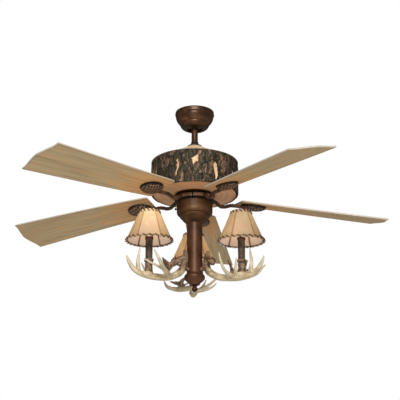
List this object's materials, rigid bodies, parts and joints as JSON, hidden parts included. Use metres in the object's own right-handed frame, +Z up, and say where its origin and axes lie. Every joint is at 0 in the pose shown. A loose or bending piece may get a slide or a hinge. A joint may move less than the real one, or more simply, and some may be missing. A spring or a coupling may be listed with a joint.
{
  "type": "ceiling fan with light",
  "caption": "Lodge-style ceiling fan: canopy, downrod, bark-covered motor, oak blades, and a column with antler arms carrying shaded candle lamps.",
  "frame": {"origin": "centre of the bracket plate's top face, where the fan meets the ceiling", "axes": "+Z up along the fan's axis; the back lamp stands towards +Y, the bracket plate runs along X"},
  "size_m": [1.2623, 1.2597, 0.6198],
  "materials": {
    "steel": "zinc-plated steel",
    "bronze": "satin weathered bronze enamel, reddish brown",
    "cast_bronze": "rough cast, weathered bronze enamel",
    "blade_oak": "light limed oak veneer, satin, grain along the blade",
    "turned_wood": "light orange-tan turned wood, satin",
    "bark": "rough dark bark with bare light patches",
    "black_plastic": "matt",
    "aluminium": "die cast, plain",
    "core_steel": "laminated steel",
    "copper": "varnished copper wire",
    "antler": "cast resin antler, cream tines and brown root",
    "candle_bark": "dark brown bark candle cover",
    "socket": "plain",
    "bulb_glass": "frosted warm glass",
    "rawhide": "translucent rawhide"
  },
  "bodies": {
    "ceiling_mount": {"ceiling_bracket": "steel", "canopy": "bronze", "canopy_cover": "bronze", "canopy_screws": "steel"},
    "hanging_fan": {"antler_arm_back": "antler", "antler_arm_left": "antler", "antler_arm_right": "antler", "ball_finial": "bronze", "bark_drum": "bark", "bottom_wood_ring": "turned_wood", "bulb_back": "bulb_glass", "bulb_left": "bulb_glass", "bulb_right": "bulb_glass", "candle_sleeve_back": "candle_bark", "candle_sleeve_left": "candle_bark", "candle_sleeve_right": "candle_bark", "capacitor": "black_plastic", "centre_pipe": "steel", "column": "bronze", "downrod": "bronze", "downrod_pins": "steel", "hanger_ball": "black_plastic", "housing_cap": "bronze", "housing_plate": "steel", "housing_screws": "steel", "lamp_sockets": "socket", "lower_cap": "bronze", "motor_shaft": "steel", "motor_top_cover": "turned_wood", "motor_yoke": "aluminium", "reverse_switch": "black_plastic", "stator_core": "core_steel", "stator_windings": "copper", "switch_housing": "bronze", "switch_plate": "aluminium", "yoke_cover": "bronze"},
    "rotor": {"arm_screws": "steel", "blade_1": "blade_oak", "blade_2": "blade_oak", "blade_3": "blade_oak", "blade_4": "blade_oak", "blade_5": "blade_oak", "blade_arm_1": "cast_bronze", "blade_arm_2": "cast_bronze", "blade_arm_3": "cast_bronze", "blade_arm_4": "cast_bronze", "blade_arm_5": "cast_bronze", "blade_screws": "steel", "flywheel": "aluminium", "motor_bearings": "steel", "rotor_bottom": "aluminium", "rotor_screws": "steel", "rotor_top": "aluminium"},
    "reverse_knob": {"reverse_knob": "black_plastic"},
    "shade_back": {"shade_back": "rawhide", "shade_frame_back": "steel"},
    "shade_left": {"shade_left": "rawhide", "shade_frame_left": "steel"},
    "shade_right": {"shade_right": "rawhide", "shade_frame_right": "steel"}
  },
  "joints": [
    {"name": "ball_swing", "type": "hinge", "parent": "ceiling_mount", "child": "hanging_fan", "pos_m": [0, 0, -0.038], "axis": [0, 1, 0], "range_deg": [-12, 12]},
    {"name": "fan_spin", "type": "hinge", "parent": "hanging_fan", "child": "rotor", "pos_m": [0, 0, -0.3], "axis": [0, 0, 1], "continuous": true},
    {"name": "reverse_slide", "type": "slide", "parent": "hanging_fan", "child": "reverse_knob", "axis": [0, 0, 1], "range_m": [0, 0.006]},
    {"name": "shade_turn_back", "type": "hinge", "parent": "hanging_fan", "child": "shade_back", "pos_m": [0.0035, 0.16696, -0.42], "axis": [0, 0, 1], "continuous": true},
    {"name": "shade_turn_left", "type": "hinge", "parent": "hanging_fan", "child": "shade_left", "pos_m": [-0.14634, -0.08045, -0.42], "axis": [0, 0, 1], "continuous": true},
    {"name": "shade_turn_right", "type": "hinge", "parent": "hanging_fan", "child": "shade_right", "pos_m": [0.14285, -0.08651, -0.42], "axis": [0, 0, 1], "continuous": true}
  ]
}
